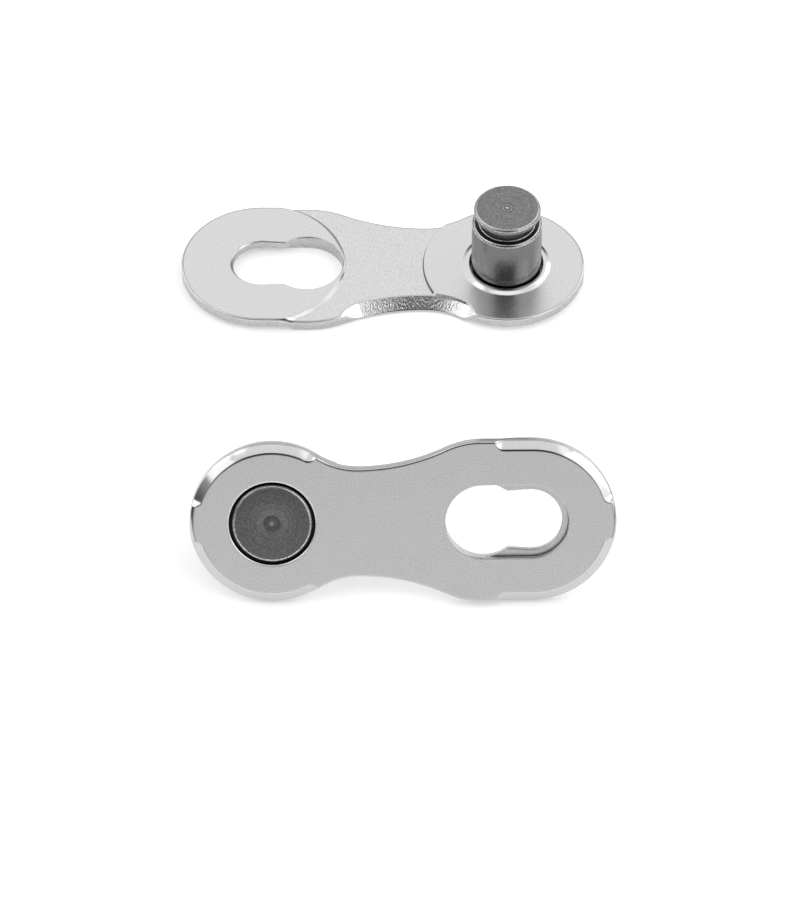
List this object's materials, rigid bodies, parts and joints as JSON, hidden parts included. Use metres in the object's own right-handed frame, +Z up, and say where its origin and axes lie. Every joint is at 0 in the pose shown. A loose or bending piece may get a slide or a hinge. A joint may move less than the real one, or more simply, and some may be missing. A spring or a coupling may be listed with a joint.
{
  "type": "chain connecting link",
  "caption": "Chain connecting link in paired halves: each is an outer plate with a fixed, grooved pin and a keyhole slot that locks onto the other half's pin.",
  "frame": {"origin": "middle of the outer face of the half that lies flat, halfway between its pin axis and the seat of its slot, on the surface that both halves rest on", "axes": "+Z up, along the pin of the half that lies flat; +X from that half's slot to its pin; the other half lies toward -Y"},
  "size_m": [0.0222, 0.0271, 0.0075],
  "materials": {
    "plate_steel": "satin nickel plate on stamped steel, bright where it is coined",
    "pin_steel": "dark hardened steel, turned"
  },
  "bodies": {
    "root": {"outer_plate_a": "plate_steel", "connecting_pin_a": "pin_steel", "outer_plate_b": "plate_steel", "connecting_pin_b": "pin_steel"}
  },
  "joints": []
}
